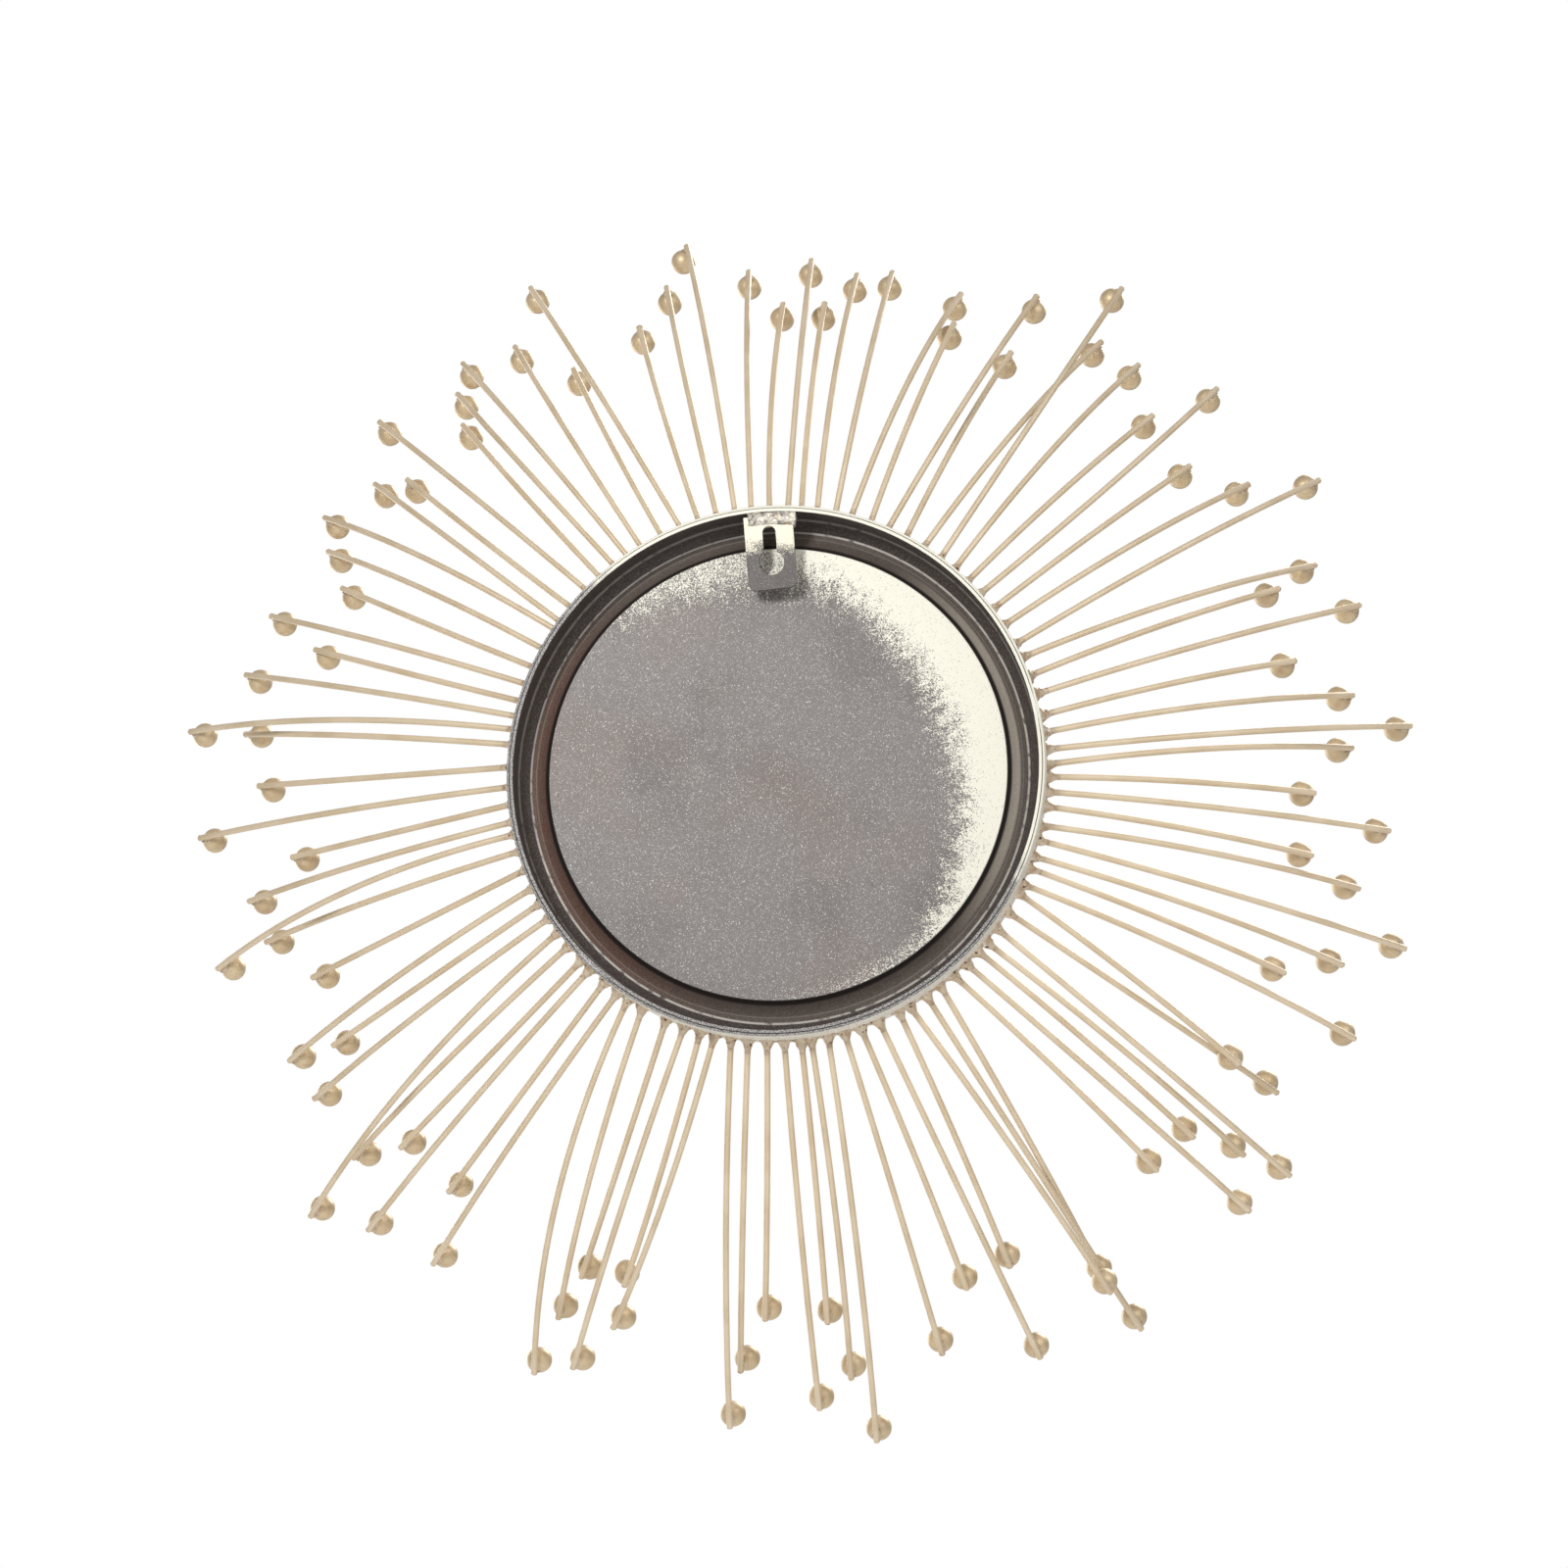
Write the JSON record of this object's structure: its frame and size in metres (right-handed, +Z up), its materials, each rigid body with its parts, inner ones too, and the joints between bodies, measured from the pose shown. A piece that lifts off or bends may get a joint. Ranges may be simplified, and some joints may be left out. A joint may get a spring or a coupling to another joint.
{
  "type": "sunburst wall mirror",
  "caption": "Round wall mirror in a pressed steel pan, framed by a fan of gently curved rods that end in balls, with a keyhole hanger on its back.",
  "frame": {"origin": "centre of the back edge of the pan, on the wall plane", "axes": "+Z up, +Y into the wall, the mirror faces -Y"},
  "size_m": [0.663, 0.1335, 0.6522],
  "materials": {
    "pan_steel": "dark satin enamel with light gold overspray on its floor and rim",
    "hoop_paint": "satin champagne paint, thin over bare steel near the back edge",
    "mirror": "silvered glass with a bevelled edge",
    "pad_foam": "black mounting foam",
    "tab_steel": "champagne overspray fading to dark enamel",
    "ray_gold": "satin champagne gold paint",
    "ball_gold": "satin champagne gold paint",
    "braze": "uneven braze under champagne gold paint"
  },
  "bodies": {
    "root": {"back_pan": "pan_steel", "ray_hoop": "hoop_paint", "mirror_glass": "mirror", "glass_pad": "pad_foam", "hanger_tab": "tab_steel", "hanger_weld": "braze", "rays_01": "ray_gold", "rays_02": "ray_gold", "rays_03": "ray_gold", "rays_04": "ray_gold", "rays_05": "ray_gold", "rays_06": "ray_gold", "rays_07": "ray_gold", "rays_08": "ray_gold", "rays_09": "ray_gold", "rays_10": "ray_gold", "rays_11": "ray_gold", "rays_12": "ray_gold", "rays_13": "ray_gold", "rays_14": "ray_gold", "rays_15": "ray_gold", "rays_16": "ray_gold", "ray_balls_01": "ball_gold", "ray_balls_02": "ball_gold", "ray_balls_03": "ball_gold", "ray_balls_04": "ball_gold", "ray_balls_05": "ball_gold", "ray_balls_06": "ball_gold", "ray_balls_07": "ball_gold", "ray_balls_08": "ball_gold", "ray_balls_09": "ball_gold", "ray_balls_10": "ball_gold", "ray_balls_11": "ball_gold", "ray_balls_12": "ball_gold", "ray_balls_13": "ball_gold", "ray_balls_14": "ball_gold", "ray_balls_15": "ball_gold", "ray_balls_16": "ball_gold", "ray_brazes_01": "braze", "ray_brazes_02": "braze", "ray_brazes_03": "braze", "ray_brazes_04": "braze", "ray_brazes_05": "braze", "ray_brazes_06": "braze", "ray_brazes_07": "braze", "ray_brazes_08": "braze", "ray_brazes_09": "braze", "ray_brazes_10": "braze", "ray_brazes_11": "braze", "ray_brazes_12": "braze", "ray_brazes_13": "braze", "ray_brazes_14": "braze", "ray_brazes_15": "braze", "ray_brazes_16": "braze"}
  },
  "joints": []
}
